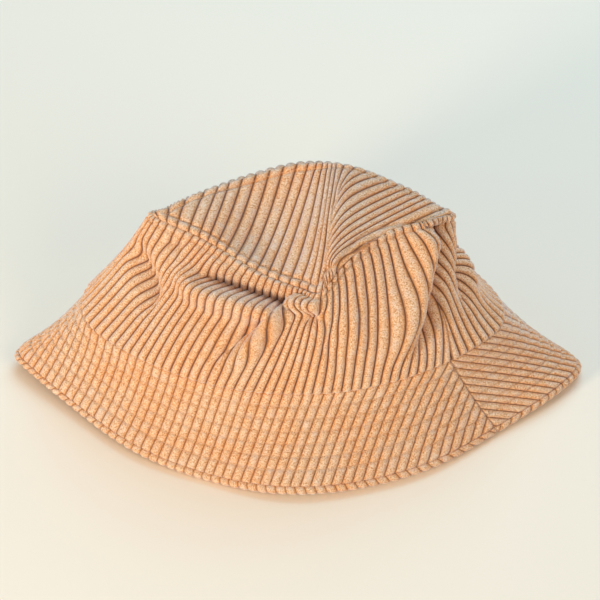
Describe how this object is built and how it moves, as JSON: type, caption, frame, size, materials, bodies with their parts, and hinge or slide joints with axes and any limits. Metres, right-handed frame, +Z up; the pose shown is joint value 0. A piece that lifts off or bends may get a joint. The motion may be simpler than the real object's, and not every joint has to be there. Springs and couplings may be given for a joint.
{
  "type": "bucket hat",
  "caption": "Soft corduroy bucket hat: flat tip and side panels over a wide sloping brim with rows of stitching, resting on its brim edge.",
  "frame": {"origin": "on the surface that the brim stands on, below the middle of the hat's outer box", "axes": "+X along the hat's long side, -Y towards its front, +Z up towards the crown's tip"},
  "size_m": [0.32, 0.163, 0.1272],
  "materials": {
    "corduroy": "wide-wale cotton corduroy, soft raised pile",
    "interlining": "woven stiffener",
    "lining": "plain cotton weave",
    "sweatband": "cotton twill",
    "label": "woven satin, blank",
    "thread": "spun polyester thread"
  },
  "bodies": {
    "root": {"crown_tip": "corduroy", "crown_side_front": "corduroy", "crown_side_back": "corduroy", "brim_top_front": "corduroy", "brim_top_back": "corduroy", "under_brim_front": "corduroy", "under_brim_back": "corduroy", "brim_interlining_front": "interlining", "brim_interlining_back": "interlining", "lining_tip": "lining", "lining_side_front": "lining", "lining_side_back": "lining", "sweatband": "sweatband", "sweatband_stitch": "thread", "care_label": "label", "brim_stitch_row_1": "thread", "brim_stitch_row_2": "thread", "brim_stitch_row_3": "thread", "brim_stitch_row_4": "thread", "brim_stitch_row_5": "thread", "brim_stitch_row_6": "thread", "tip_seam_stitch_upper": "thread", "tip_seam_stitch_lower": "thread"}
  },
  "joints": []
}
